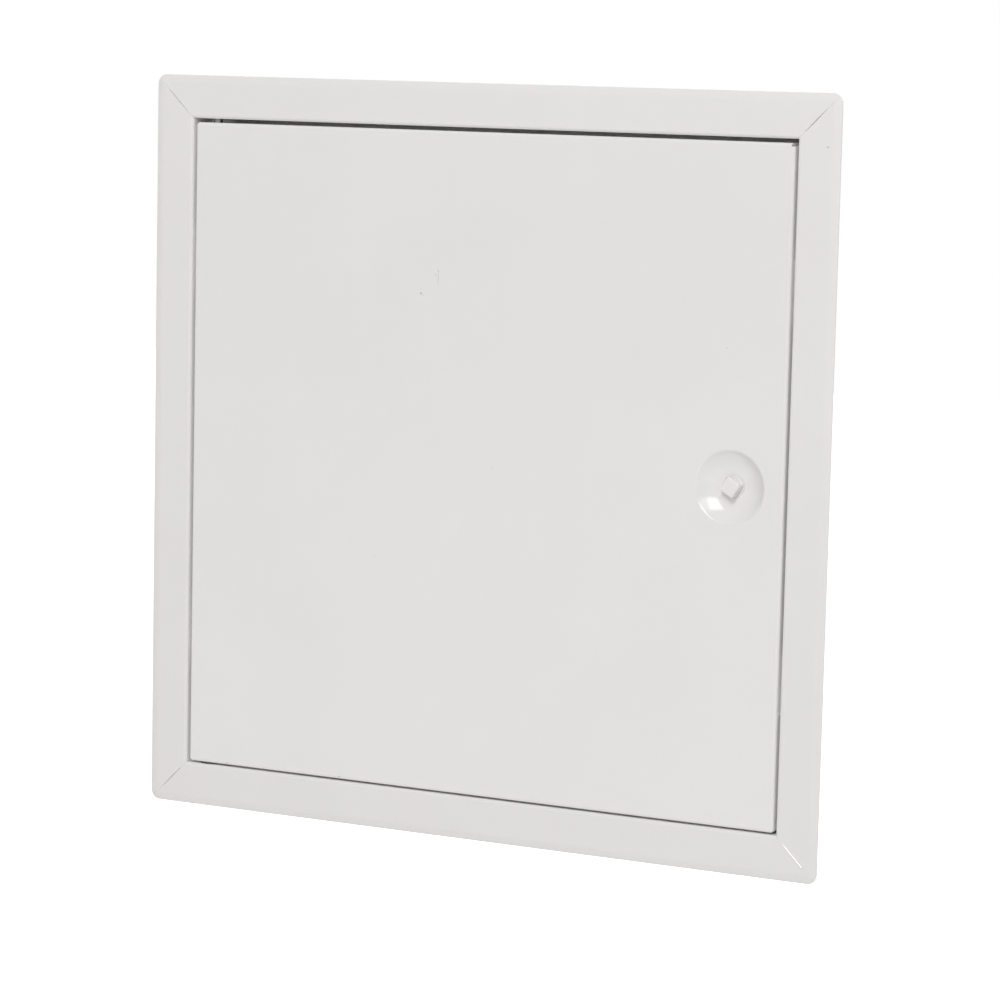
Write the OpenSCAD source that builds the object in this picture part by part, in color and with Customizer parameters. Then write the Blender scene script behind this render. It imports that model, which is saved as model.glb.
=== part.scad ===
// Hinged steel access panel with a mitred frame, a folded door leaf and a square-key lock.
// Pieces are drawn flat, face up: x to the right, y up the panel, z out of the face.
// The ceiling plane is z = 0. upright() then stands the panel on edge, with its face to -Y.

/* [Frame] */
// Clear width of the opening between the collar walls
opening_w = 300; // [260:1:600]
// Clear height of the opening between the collar walls
opening_h = 300; // [260:1:600]
// Width of the flange that covers the edge of the cut-out
flange_w = 19.6; // [18:0.1:40]
// Width of the flange's turned-back outer edge, also the radius of its corners
edge_w = 4.6; // [3.5:0.1:5]
// Drop of the turned-back edge towards the ceiling
edge_drop = 0.9; // [0.5:0.1:2]
// Sheet thickness of the frame
frame_t = 1; // [0.8:0.1:1.2]
// Inside radius of the folds in the frame
frame_fold_r = 0.5; // [0.3:0.1:0.8]
// Width of the stop lip behind the door leaf
stop_w = 10; // [9:0.5:12]
// Gap between the leaf's rear edge and the stop lip
stop_gap = 0.5; // [0.3:0.1:1]

/* [Mitre joints] */
// Width of the slit left in three of the mitres
slit_w = 0.25; // [0.2:0.05:0.4]
// Width of the slit at the lower lock corner, which stands open
slit_w_open = 0.9; // [0.5:0.05:1.2]
// Distance from the collar wall to the start of a slit
slit_from = 3.3; // [2.5:0.1:5]
// Distance from the collar wall to the end of a slit
slit_to = 12.5; // [8:0.1:13]
// Length of each leg of a corner plate
plate_leg = 42; // [36:1:60]
// Width of a corner plate's legs
plate_w = 8; // [7:0.5:8.5]
// Thickness of the corner plates
plate_t = 1.5; // [1:0.1:2]
// Gap between a corner plate and the collar's outer corner
plate_margin = 1; // [0.8:0.1:1.4]
// Distance from the collar corner to the first rivet
rivet_first = 16; // [13:0.5:18]
// Distance between the two rivets of a leg
rivet_pitch = 17; // [12:0.5:18]
// Diameter of the rivets
rivet_d = 3.2; // [2.4:0.1:4]
// Diameter of the rivet heads
rivet_head_d = 6; // [5:0.1:6.5]
// Height of the rivet heads
rivet_head_h = 1; // [0.6:0.1:1.2]

/* [Fixing lugs] */
// Distance between the two lugs of one side
lug_pitch = 180; // [120:1:200]
// Length of a lug from its root to its free end
lug_l = 26; // [20:0.5:32]
// Width of a lug across the collar
lug_w = 11; // [9:0.5:12]
// Width of the slit that frees a lug
lug_slit = 1.2; // [0.8:0.1:1.5]
// Diameter of the screw hole in a lug
lug_hole_d = 4.5; // [3.5:0.1:6]
// Distance from the free end of a lug to its hole
lug_hole_from_end = 7; // [6:0.5:9]

/* [Door leaf] */
// Gap beside the leaf on the hinge side
gap_hinge = 1.7; // [1.6:0.05:2.2]
// Gap beside the leaf on the lock side
gap_lock = 1.4; // [1.2:0.05:2.2]
// Gap above the leaf
gap_top = 1.8; // [1:0.05:2.5]
// Gap below the leaf
gap_bottom = 1; // [0.8:0.05:2]
// Sheet thickness of the leaf
leaf_t = 1; // [0.8:0.1:1.2]
// Inside radius of the folds in the leaf
leaf_fold_r = 0.5; // [0.3:0.1:0.8]
// Depth of the folded leaf
leaf_depth = 19.5; // [18:0.1:24]
// Room behind the leaf's hinge edge as it swings
swing_gap = 0.6; // [0.4:0.1:1]

/* [Hinge] */
// Distance from the collar wall to the hinge axis
hinge_inset = 10; // [10:0.1:12]
// Depth of the hinge axis behind the face
hinge_depth = 6; // [5.5:0.1:6.4]
// Diameter of the hinge pins
pin_d = 4; // [3:0.1:4.5]
// Radial clearance of pins and shafts that turn or slide
run_gap = 0.08; // [0.05:0.01:0.1]
// Reach of the upper pin past the frame
pin_reach = 3; // [2:0.1:5]
// Sheet thickness of the pin bracket
bracket_t = 1.5; // [1.2:0.1:2]
// Inside height of the pin bracket
bracket_h = 26; // [22:0.5:36]
// Distance from the leaf's upper fold to the bracket
bracket_drop = 7; // [4:0.5:20]
// Reach of the bracket past the hinge axis
bracket_reach = 5; // [4:0.1:7]
// Depth of the bracket's ears
bracket_depth = 9; // [8:0.5:10]
// Inside radius of the bracket's folds
bracket_fold_r = 1; // [0.5:0.1:1.5]
// Wire diameter of the pin spring
spring_wire = 0.7; // [0.5:0.1:0.9]
// Number of coils in the pin spring
spring_turns = 8; // [5:1:10]
// Radial gap between pin and spring
spring_gap = 0.6; // [0.4:0.1:0.8]
// Diameter of the clip that holds the spring
clip_d = 8; // [7:0.1:8.5]
// Thickness of the clip
clip_t = 1; // [0.8:0.1:1.5]
// Width of the clip's open side
clip_gap = 2.5; // [2:0.1:2.8]
// Depth of the pin's groove for the clip
groove_depth = 0.5; // [0.3:0.1:0.6]
// Length of the pin's bent finger tail
tail_l = 14; // [10:0.5:20]
// Bend radius of the finger tail, to the middle of the rod
tail_bend_r = 5; // [4:0.1:8]
// Play above the lower thrust washer
washer_play = 0.1; // [0.05:0.05:0.2]
// Diameter of the lower thrust washer
washer_d = 9; // [7:0.1:10]
// Length of the lower hinge plate
hinge_plate_l = 22; // [18:0.5:30]
// Depth of the lower hinge plate
hinge_plate_w = 9; // [8:0.5:9.5]
// Thickness of the lower hinge plate
hinge_plate_t = 2; // [1.5:0.1:3]
// Reach of the lower pin past the hinge plate
lower_pin_reach = 2; // [1:0.1:5]
// Diameter of the lower pin's riveted head
lower_head_d = 8; // [6:0.1:10]
// Height of the lower pin's riveted head
lower_head_h = 1.5; // [1:0.1:2]

/* [Lock] */
// Distance from the leaf's lock edge to the lock axis
lock_inset = 25.2; // [23:0.1:27]
// Diameter of the pressed dimple where it leaves the face
dimple_d = 34; // [30:0.5:36]
// Depth of the dimple
dimple_depth = 4.5; // [4:0.1:7]
// Radius of the dimple's rounded lip
dimple_lip_r = 2; // [1.5:0.1:3]
// Diameter of the dimple's flat floor
dimple_floor_d = 11; // [10.5:0.1:12]
// Size of the square drive across its flats
drive_af = 7; // [6:0.1:8]
// Diameter over the drive's turned corners
drive_d = 9.3; // [8.5:0.1:9.5]
// Length of the drive in front of the dimple floor
drive_l = 4.8; // [4:0.1:7]
// Chamfer on the drive's front edge
drive_chamfer = 0.4; // [0.2:0.1:0.8]
// Turn of the drive's flats against the cam
drive_turn = 57; // [0:1:90]
// Diameter of the spindle in its bearing
journal_d = 6; // [5.5:0.1:6.5]
// Outer diameter of the bearing where it fills the dimple floor
bearing_spigot_d = 10; // [9.5:0.1:10.2]
// Diameter of the bearing's flange behind the floor
bearing_flange_d = 18; // [16:0.5:20]
// Thickness of the bearing's flange
bearing_flange_t = 2; // [1.5:0.1:3]
// Diameter of the bearing's barrel
bearing_d = 12; // [10.5:0.5:14]
// Height of the coned spring washer
cone_washer_h = 1; // [0.8:0.1:1.5]
// Thickness of the coned spring washer
cone_washer_t = 0.6; // [0.4:0.1:0.7]
// Clearance between cam and stop lip
cam_gap = 0.4; // [0.3:0.1:1]
// Reach of the cam from the lock axis
cam_reach = 23.5; // [21:0.5:25]
// Width of the cam
cam_w = 15; // [13:0.5:16]
// Thickness of the cam
cam_t = 2; // [1.5:0.1:3]
// Size of the square that drives the cam
cam_square = 5; // [4.2:0.1:5.2]
// Clearance of the cam on its square, on each side
cam_fit = 0.05; // [0.02:0.01:0.1]
// Lead-in on the cam's leading edge
cam_lead = 1.2; // [0.6:0.1:1.4]
// Diameter of the spindle's threaded end
thread_d = 4; // [3.5:0.1:4]
// Reach of the threaded end past the nut
thread_reach = 1.5; // [0.5:0.1:3]
// Diameter of the washer under the nut
nut_washer_d = 10; // [9:0.1:12]
// Thickness of the washer under the nut
nut_washer_t = 1; // [0.8:0.1:1.6]
// Size of the nut across its flats
nut_af = 7; // [6:0.1:8]
// Height of the nut
nut_h = 3.2; // [2.5:0.1:5]

/* [Hidden] */
$fn = 64;

// Cut-through allowance for holes and slits
cut = 1;
face_z = edge_drop + frame_t;
frame_fold = frame_fold_r + frame_t;
stop_front_z = face_z - leaf_depth - stop_gap;
stop_rear_z = stop_front_z - frame_t;
collar_mid_z = (face_z + stop_rear_z) / 2;

leaf_fold = leaf_fold_r + leaf_t;
leaf_left = -opening_w / 2 + gap_hinge;
leaf_right = opening_w / 2 - gap_lock;
leaf_top = opening_h / 2 - gap_top;
leaf_bottom = -opening_h / 2 + gap_bottom;

hinge_x = -opening_w / 2 + hinge_inset;
hinge_z = face_z - hinge_depth;
pin_hole_d = pin_d + 2 * run_gap;
// The hinge edge of the leaf stays inside this circle about the hinge axis
swing_r = leaf_depth + stop_gap - hinge_depth - swing_gap;
hinge_return = hinge_depth + sqrt(pow(swing_r, 2) - pow(hinge_inset - gap_hinge, 2));
bracket_top = leaf_top - leaf_t - bracket_drop;
bracket_bottom = bracket_top - 2 * bracket_t - bracket_h;
bracket_x = leaf_left + leaf_t;
bracket_l = hinge_x + bracket_reach - bracket_x;
clip_top = bracket_top - bracket_t;
spring_bottom = bracket_bottom + bracket_t;
spring_l = clip_top - clip_t - spring_bottom;
spring_r = pin_d / 2 + spring_gap + spring_wire / 2;
tail_y = bracket_bottom - tail_bend_r;
rivet_hole_d = rivet_d + 2 * run_gap;

lock_x = leaf_right - lock_inset;
lock_y = 0;
floor_z = face_z - dimple_depth;
cam_front_z = stop_rear_z - cam_gap;
cam_rear_z = cam_front_z - cam_t;
bearing_rear_z = cam_front_z + cone_washer_h;
nut_front_z = cam_rear_z - nut_washer_t;
nut_rear_z = nut_front_z - nut_h;

// Stands the flat drawing on edge
module upright() {
    rotate([90, 0, 0]) children();
}

// Quarter of a sheet's bend in section, in the first quadrant
module quarter_bend(r, t) {
    difference() {
        intersection() {
            circle(r);
            square(r);
        }
        circle(r - t);
    }
}

// Points along an arc, both ends included
function arc(centre, r, from, to, steps) = [
    for (i = [0 : steps])
        let (a = from + (to - from) * i / steps) centre + r * [cos(a), sin(a)]
];

// Rivet along -z, flush at z = 0, with its head behind a grip of the given length
module flush_rivet(grip) {
    translate([0, 0, -grip]) cylinder(d = rivet_d, h = grip);
    translate([0, 0, -grip - rivet_head_h])
        cylinder(d1 = rivet_head_d - 2 * rivet_head_h, d2 = rivet_head_d, h = rivet_head_h);
}

// Section of the flange's turned-back edge, which bends more and more steeply: x outwards, face at y = 0
module edge_section() {
    // Shares of the drop reached at a quarter and at half of the width
    quarter_drop = 0.06;
    half_drop = 0.3;
    path = [
        [0, 0], [edge_w / 4, -edge_drop * quarter_drop], [edge_w / 2, -edge_drop * half_drop],
        [edge_w, -edge_drop]
    ];
    polygon(concat(path, [for (i = [len(path) - 1 : -1 : 0]) path[i] - [0, frame_t]]));
}

// Section of a frame rail: x outwards from the collar wall, y out of the face
module rail_section() {
    translate([frame_fold, face_z - frame_fold]) rotate(90) quarter_bend(frame_fold, frame_t);
    translate([frame_fold, face_z - frame_t]) square([flange_w - edge_w - frame_fold, frame_t]);
    translate([flange_w - edge_w, face_z]) edge_section();
    translate([0, stop_rear_z + frame_fold])
        square([frame_t, face_z - stop_rear_z - 2 * frame_fold]);
    translate([-frame_fold_r, stop_rear_z + frame_fold])
        rotate(-90) quarter_bend(frame_fold, frame_t);
    translate([-stop_w, stop_rear_z]) square([stop_w - frame_fold_r, frame_t]);
}

// Rounded outer corner of the flange, in the first quadrant about its own axis
module rounded_corner() {
    rotate_extrude(angle = 90) edge_section();
}

// Outline between the two mitres of a rail over an opening of the given length
module mitre_outline(length) {
    inner = -stop_w - cut;
    outer = flange_w + cut;
    half = length / 2;
    polygon([
        [-half - inner, inner], [half + inner, inner], [half + outer, outer], [-half - outer, outer]
    ]);
}

// Slit of the given width along the mitre at a rail's right end
module mitre_slit(length, width) {
    translate([length / 2, 0, face_z - 2 * frame_t])
        rotate(45)
            translate([slit_from * sqrt(2), -width / 2, 0])
                cube([(slit_to - slit_from) * sqrt(2), width, 2 * frame_t + cut]);
}

// Rail along x with its collar wall at y = 0 and its flange towards +y
module rail(length, slit_left, slit_right) {
    corner_x = length / 2 + flange_w - edge_w;
    difference() {
        intersection() {
            union() {
                rotate([90, 0, 90]) linear_extrude(2 * corner_x, center = true) rail_section();
                for (side = [0, 1])
                    mirror([side, 0, 0])
                        translate([corner_x, flange_w - edge_w, face_z]) rounded_corner();
            }
            translate([0, 0, stop_rear_z - cut])
                linear_extrude(face_z - stop_rear_z + 2 * cut) mitre_outline(length);
        }
        mitre_slit(length, slit_right);
        mirror([1, 0, 0]) mitre_slit(length, slit_left);
    }
}

// Slit and screw hole of one bend-out lug, through a collar wall at y = 0, free end towards +x
module lug_cut() {
    translate([0, frame_t + cut, collar_mid_z]) rotate([90, 0, 0])
        linear_extrude(frame_t + 2 * cut) {
            difference() {
                translate([-lug_l, -lug_w / 2 - lug_slit])
                    square([lug_l + lug_slit, lug_w + 2 * lug_slit]);
                translate([-lug_l - cut, -lug_w / 2]) square([lug_l + cut, lug_w]);
            }
            translate([-lug_hole_from_end, 0]) circle(d = lug_hole_d);
        }
}

// Two lugs of a side, mirrored about its middle, with their holes lug_pitch apart
module lug_pair_cut() {
    for (side = [0, 1])
        mirror([side, 0, 0]) translate([lug_pitch / 2 + lug_hole_from_end, 0, 0]) lug_cut();
}

// Rivet places of a corner plate, measured from the collar corner towards the middle
module rivet_places() {
    line = -plate_margin - plate_w / 2;
    for (i = [0, 1]) {
        translate([-rivet_first - i * rivet_pitch, line]) children();
        translate([line, -rivet_first - i * rivet_pitch]) children();
    }
}

// Holes through the stop lips of all four corners
module stop_rivet_holes() {
    corners()
        translate([0, 0, stop_rear_z - cut])
            linear_extrude(frame_t + 2 * cut) rivet_places() circle(d = rivet_hole_d);
}

// Moves a corner drawing to a collar corner, mirrored to face it: sx and sy are -1 or 1
module corner(sx, sy) {
    translate([sx * opening_w / 2, sy * opening_h / 2, 0])
        mirror([1 - sx, 0, 0]) mirror([0, 1 - sy, 0]) children();
}

module corners() {
    for (sx = [-1, 1], sy = [-1, 1]) corner(sx, sy) children();
}

// Hole along y for a hinge pin through a sheet around the given height
module pin_hole(y) {
    translate([hinge_x, y - 2 * frame_t, hinge_z])
        rotate([-90, 0, 0]) cylinder(d = pin_hole_d, h = 4 * frame_t);
}

module frame_rail_top() {
    color("white") upright() difference() {
        translate([0, opening_h / 2, 0]) rail(opening_w, slit_w, slit_w);
        pin_hole(opening_h / 2);
        stop_rivet_holes();
    }
}

module frame_rail_bottom() {
    color("white") upright() difference() {
        translate([0, -opening_h / 2, 0]) rotate(180) rail(opening_w, slit_w_open, slit_w);
        pin_hole(-opening_h / 2);
        stop_rivet_holes();
    }
}

module frame_rail_left() {
    color("white") upright() difference() {
        translate([-opening_w / 2, 0, 0]) rotate(90) difference() {
            rail(opening_h, slit_w, slit_w);
            lug_pair_cut();
        }
        stop_rivet_holes();
    }
}

module frame_rail_right() {
    color("white") upright() difference() {
        translate([opening_w / 2, 0, 0]) rotate(-90) difference() {
            rail(opening_h, slit_w, slit_w_open);
            lug_pair_cut();
        }
        stop_rivet_holes();
    }
}

// Flat angle behind two stop lips, joining their mitre
module corner_plate(sx, sy) {
    color("silver") upright() corner(sx, sy)
        translate([0, 0, stop_rear_z - plate_t]) linear_extrude(plate_t) difference() {
            translate([-plate_leg, -plate_leg]) square(plate_leg - plate_margin);
            translate([-plate_leg - cut, -plate_leg - cut])
                square(plate_leg + cut - plate_margin - plate_w);
            rivet_places() circle(d = rivet_hole_d);
        }
}

module corner_plate_tl() {
    corner_plate(-1, 1);
}

module corner_plate_tr() {
    corner_plate(1, 1);
}

module corner_plate_bl() {
    corner_plate(-1, -1);
}

module corner_plate_br() {
    corner_plate(1, -1);
}

module corner_rivets() {
    color("silver") upright() corners()
        translate([0, 0, stop_front_z]) rivet_places() flush_rivet(frame_t + plate_t);
}

// Fixed pin, riveted through the lower collar wall
module hinge_pin_lower() {
    top = leaf_bottom + leaf_t + hinge_plate_t + lower_pin_reach;
    base = -opening_h / 2 - frame_t;
    color("silver") upright() translate([hinge_x, 0, hinge_z]) rotate([-90, 0, 0]) {
        translate([0, 0, base]) cylinder(d = pin_d, h = top - pin_d / 4 - base);
        translate([0, 0, top - pin_d / 4]) cylinder(d1 = pin_d, d2 = pin_d / 2, h = pin_d / 4);
        translate([0, 0, base - lower_head_h])
            cylinder(d1 = lower_head_d - lower_head_h, d2 = lower_head_d, h = lower_head_h);
    }
}

// Plastic thrust washer that carries the leaf
module hinge_washer_lower() {
    color("dimgray") upright() translate([hinge_x, -opening_h / 2, hinge_z]) rotate([-90, 0, 0])
        linear_extrude(gap_bottom - washer_play) difference() {
            circle(d = washer_d);
            circle(d = pin_hole_d);
        }
}

// Section of a leaf edge: x outwards from the axis of its fold, y out of the face
module leaf_edge_section(depth) {
    translate([0, face_z - leaf_fold]) quarter_bend(leaf_fold, leaf_t);
    translate([leaf_fold_r, face_z - depth]) square([leaf_t, depth - leaf_fold]);
}

// Return along the top or bottom of the leaf, cut back where it swings past the stop lip
module hinged_return() {
    polygon([
        [leaf_left + leaf_fold, face_z - leaf_fold],
        [leaf_right - leaf_fold, face_z - leaf_fold],
        [leaf_right - leaf_fold, face_z - leaf_depth],
        [hinge_x, face_z - leaf_depth],
        [leaf_left + leaf_fold, face_z - hinge_return]
    ]);
}

// Fold and return of the leaf's upper edge, with the edge at y = 0
module leaf_long_edge() {
    translate([leaf_left + leaf_fold, 0, 0]) rotate([90, 0, 90])
        linear_extrude(leaf_right - leaf_left - 2 * leaf_fold)
            translate([-leaf_fold, face_z - leaf_fold]) quarter_bend(leaf_fold, leaf_t);
    rotate([90, 0, 0]) linear_extrude(leaf_t) hinged_return();
}

// Fold and return of a side edge, with the edge at x = 0
module leaf_side_edge(depth) {
    translate([-leaf_fold, leaf_top - leaf_fold, 0]) rotate([90, 0, 0])
        linear_extrude(leaf_top - leaf_bottom - 2 * leaf_fold) leaf_edge_section(depth);
}

// Closed corner of the leaf, where two folds run round into each other, moved to sx and sy of -1 or 1
module leaf_corner(sx, sy, depth) {
    axis_x = sx < 0 ? leaf_left + leaf_fold : leaf_right - leaf_fold;
    axis_y = sy < 0 ? leaf_bottom + leaf_fold : leaf_top - leaf_fold;
    translate([axis_x, axis_y, 0]) mirror([1 - sx, 0, 0]) mirror([0, 1 - sy, 0])
        rotate_extrude(angle = 90) leaf_edge_section(depth);
}

// Section of the pressed dimple about the lock axis: its lip and bowl are arcs that run into each other
module dimple_section() {
    rim = dimple_d / 2;
    floor_r = dimple_floor_d / 2;
    slope = 2 * atan(dimple_depth / (rim - floor_r));
    bowl_r = (rim - floor_r) / sin(slope) - dimple_lip_r;
    lip_centre = [rim, face_z - dimple_lip_r];
    bowl_centre = [floor_r, floor_z + bowl_r];
    lip_steps = 8;
    bowl_steps = 16;
    polygon(concat(
        [[rim + leaf_t, face_z]],
        arc(lip_centre, dimple_lip_r, 90, 90 + slope, lip_steps),
        arc(bowl_centre, bowl_r, slope - 90, -90, bowl_steps),
        [[bearing_spigot_d / 2, floor_z], [bearing_spigot_d / 2, floor_z - leaf_t]],
        arc(bowl_centre, bowl_r + leaf_t, -90, slope - 90, bowl_steps),
        arc(lip_centre, dimple_lip_r - leaf_t, 90 + slope, 90, lip_steps),
        [[rim + leaf_t, face_z - leaf_t]]
    ));
}

module door_leaf() {
    color("white") upright() difference() {
        union() {
            translate([leaf_left + leaf_fold, leaf_bottom + leaf_fold, face_z - leaf_t])
                linear_extrude(leaf_t) difference() {
                    square([
                        leaf_right - leaf_left - 2 * leaf_fold,
                        leaf_top - leaf_bottom - 2 * leaf_fold
                    ]);
                    translate([
                        lock_x - leaf_left - leaf_fold, lock_y - leaf_bottom - leaf_fold
                    ]) circle(d = dimple_d);
                }
            translate([0, leaf_top, 0]) leaf_long_edge();
            translate([0, leaf_bottom, 0]) mirror([0, 1, 0]) leaf_long_edge();
            translate([leaf_right, 0, 0]) leaf_side_edge(leaf_depth);
            translate([leaf_left, 0, 0]) mirror([1, 0, 0]) leaf_side_edge(hinge_return);
            leaf_corner(-1, 1, hinge_return);
            leaf_corner(-1, -1, hinge_return);
            leaf_corner(1, -1, leaf_depth);
            translate([lock_x, lock_y, 0]) rotate_extrude() dimple_section();
        }
        pin_hole(leaf_top);
        pin_hole(leaf_bottom);
        bracket_rivet_places() translate([0, 0, cut]) mirror([0, 0, 1])
            cylinder(d = rivet_hole_d, h = leaf_t + bracket_t + 2 * cut);
    }
}

// Reinforcing plate over the leaf's lower return, bored for the lower pin
module hinge_plate_lower() {
    color("silver") upright()
        translate([
            leaf_left + leaf_fold + run_gap, leaf_bottom + leaf_t, hinge_z - hinge_plate_w / 2
        ]) difference() {
            cube([hinge_plate_l, hinge_plate_t, hinge_plate_w]);
            translate([hinge_x - leaf_left - leaf_fold - run_gap, -cut, hinge_plate_w / 2])
                rotate([-90, 0, 0]) cylinder(d = pin_hole_d, h = hinge_plate_t + 2 * cut);
        }
}

// Places of the bracket's rivets: the drawing's z axis points out through the hinge-side return
module bracket_rivet_places() {
    middle = (bracket_top + bracket_bottom) / 2;
    pitch = bracket_h / 2;
    for (side = [-1, 1])
        translate([leaf_left, middle + side * pitch / 2, hinge_z]) rotate([0, -90, 0]) children();
}

// Outline of the folded bracket: x from the leaf's return towards the middle, y up
module bracket_outline() {
    height = bracket_top - bracket_bottom;
    fold = bracket_fold_r + bracket_t;
    translate([0, fold]) square([bracket_t, height - 2 * fold]);
    for (side = [0, 1])
        translate([0, side * height]) mirror([0, side]) {
            translate([fold, fold]) rotate(180) quarter_bend(fold, bracket_t);
            translate([fold, 0]) square([bracket_l - fold, bracket_t]);
        }
}

// Folded bracket that guides the sprung pin, riveted inside the leaf's hinge-side return
module hinge_bracket_upper() {
    color("silver") upright() difference() {
        translate([bracket_x, bracket_bottom, hinge_z - bracket_depth / 2])
            linear_extrude(bracket_depth) bracket_outline();
        translate([hinge_x, bracket_bottom - cut, hinge_z]) rotate([-90, 0, 0])
            cylinder(d = pin_hole_d, h = bracket_top - bracket_bottom + 2 * cut);
        bracket_rivet_places() translate([0, 0, cut]) mirror([0, 0, 1])
            cylinder(d = rivet_hole_d, h = leaf_t + bracket_t + 2 * cut);
    }
}

module bracket_rivets() {
    color("silver") upright() bracket_rivet_places() flush_rivet(leaf_t + bracket_t);
}

// Round wire wound up the z axis, its ends a wire's thickness inside the given length
module coil(r, wire, length, turns) {
    steps = 18;
    sides = 8;
    rings = turns * steps;
    rise = (length - wire) / rings;
    points = [
        for (i = [0 : rings], j = [0 : sides - 1])
            let (a = i * 360 / steps, b = j * 360 / sides, out = r + wire / 2 * cos(b))
                [out * cos(a), out * sin(a), wire / 2 + i * rise + wire / 2 * sin(b)]
    ];
    walls = [
        for (i = [0 : rings - 1], j = [0 : sides - 1])
            let (k = (j + 1) % sides)
                [i * sides + j, i * sides + k, (i + 1) * sides + k, (i + 1) * sides + j]
    ];
    start = [for (j = [sides - 1 : -1 : 0]) j];
    end = [for (j = [0 : sides - 1]) rings * sides + j];
    polyhedron(points, concat(walls, [start, end]));
}

module hinge_spring() {
    color("dimgray") upright() translate([hinge_x, spring_bottom, hinge_z]) rotate([-90, 0, 0])
        coil(spring_r, spring_wire, spring_l, spring_turns);
}

// Sprung pin, with a clip groove and a tail bent towards the middle to pull it down
module hinge_pin_upper() {
    top = opening_h / 2 + frame_t + pin_reach;
    tip = pin_d / 4;
    color("silver") upright() translate([hinge_x, 0, hinge_z]) {
        difference() {
            rotate([-90, 0, 0]) {
                translate([0, 0, tail_y]) cylinder(d = pin_d, h = top - tip - tail_y);
                translate([0, 0, top - tip]) cylinder(d1 = pin_d, d2 = pin_d - 2 * tip, h = tip);
            }
            translate([0, clip_top - clip_t - run_gap, 0]) rotate([-90, 0, 0])
                linear_extrude(clip_t + run_gap) difference() {
                    circle(d = pin_d + cut);
                    circle(d = pin_d - 2 * groove_depth);
                }
        }
        translate([tail_bend_r, tail_y, 0]) mirror([1, 1, 0]) rotate_extrude(angle = 90)
            translate([tail_bend_r, 0]) circle(d = pin_d);
        translate([tail_bend_r, tail_y - tail_bend_r, 0]) rotate([0, 90, 0])
            cylinder(d = pin_d, h = tail_l - tail_bend_r);
    }
}

// Open clip in the pin's groove: it stops the pin under the bracket and takes the spring
module pin_clip() {
    bore = pin_d - 2 * groove_depth + 2 * run_gap;
    color("dimgray") upright() translate([hinge_x, clip_top - clip_t, hinge_z]) rotate([-90, 0, 0])
        linear_extrude(clip_t) difference() {
            circle(d = clip_d);
            circle(d = bore);
            translate([0, -clip_gap / 2]) square([clip_d, clip_gap]);
        }
}

// Bearing swaged into the dimple floor
module lock_bearing() {
    color("silver") upright() translate([lock_x, lock_y, 0]) difference() {
        union() {
            translate([0, 0, floor_z - leaf_t]) cylinder(d = bearing_spigot_d, h = leaf_t);
            translate([0, 0, floor_z - leaf_t - bearing_flange_t])
                cylinder(d = bearing_flange_d, h = bearing_flange_t);
            translate([0, 0, bearing_rear_z])
                cylinder(d = bearing_d, h = floor_z - leaf_t - bearing_rear_z);
        }
        translate([0, 0, bearing_rear_z - cut])
            cylinder(d = journal_d + 2 * run_gap, h = floor_z - bearing_rear_z + 2 * cut);
    }
}

// Turned spindle with a square drive in front and a square and a thread for the cam behind
module lock_spindle() {
    end_z = nut_rear_z - thread_reach;
    color("white") upright() translate([lock_x, lock_y, 0]) {
        rotate(drive_turn) intersection() {
            translate([-drive_af / 2, -drive_af / 2, floor_z]) cube([drive_af, drive_af, drive_l]);
            union() {
                translate([0, 0, floor_z]) cylinder(d = drive_d, h = drive_l - drive_chamfer);
                translate([0, 0, floor_z + drive_l - drive_chamfer])
                    cylinder(d1 = drive_d, d2 = drive_d - 2 * drive_chamfer, h = drive_chamfer);
            }
        }
        translate([0, 0, cam_front_z]) cylinder(d = journal_d, h = floor_z - cam_front_z);
        translate([-cam_square / 2, -cam_square / 2, cam_rear_z])
            intersection() {
                cube([cam_square, cam_square, cam_t]);
                translate([cam_square / 2, cam_square / 2, 0]) cylinder(d = journal_d, h = cam_t);
            }
        translate([0, 0, end_z]) cylinder(d = thread_d, h = cam_rear_z - end_z);
    }
}

// Coned washer that holds the cam where it is turned to
module cone_washer() {
    inner = journal_d / 2 + run_gap;
    outer = bearing_d / 2;
    rise = cone_washer_h - cone_washer_t;
    color("dimgray") upright() translate([lock_x, lock_y, cam_front_z]) rotate_extrude()
        polygon([[inner, rise], [outer, 0], [outer, cone_washer_t], [inner, cone_washer_h]]);
}

// Flat cam, hanging down when the lock is open, with a bevelled leading edge
module lock_cam() {
    hole = cam_square + 2 * cam_fit;
    tip_r = cam_w / 4;
    color("silver") upright() translate([lock_x, lock_y, 0]) difference() {
        translate([0, 0, cam_rear_z]) linear_extrude(cam_t) difference() {
            union() {
                circle(d = cam_w);
                translate([-cam_w / 2, tip_r - cam_reach]) square([cam_w, cam_reach - tip_r]);
                translate([tip_r - cam_w / 2, -cam_reach]) square([cam_w - 2 * tip_r, tip_r]);
                for (side = [-1, 1])
                    translate([side * (cam_w / 2 - tip_r), tip_r - cam_reach]) circle(tip_r);
            }
            intersection() {
                square(hole, center = true);
                circle(d = journal_d + 2 * cam_fit);
            }
        }
        translate([cam_w / 2, -cam_reach - cut, cam_front_z]) rotate([0, 45, 0])
            translate([-cam_lead / sqrt(2), 0, -cam_lead / sqrt(2)])
                cube([cam_lead * sqrt(2), cam_reach / 2 + cut, cam_lead * sqrt(2)]);
    }
}

module nut_washer() {
    color("silver") upright() translate([lock_x, lock_y, nut_front_z])
        linear_extrude(nut_washer_t) difference() {
            circle(d = nut_washer_d);
            circle(d = thread_d + 2 * run_gap);
        }
}

module cam_nut() {
    color("silver") upright() translate([lock_x, lock_y, nut_rear_z])
        linear_extrude(nut_h) difference() {
            circle(d = nut_af / cos(30), $fn = 6);
            circle(d = thread_d + 2 * run_gap);
        }
}

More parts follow.
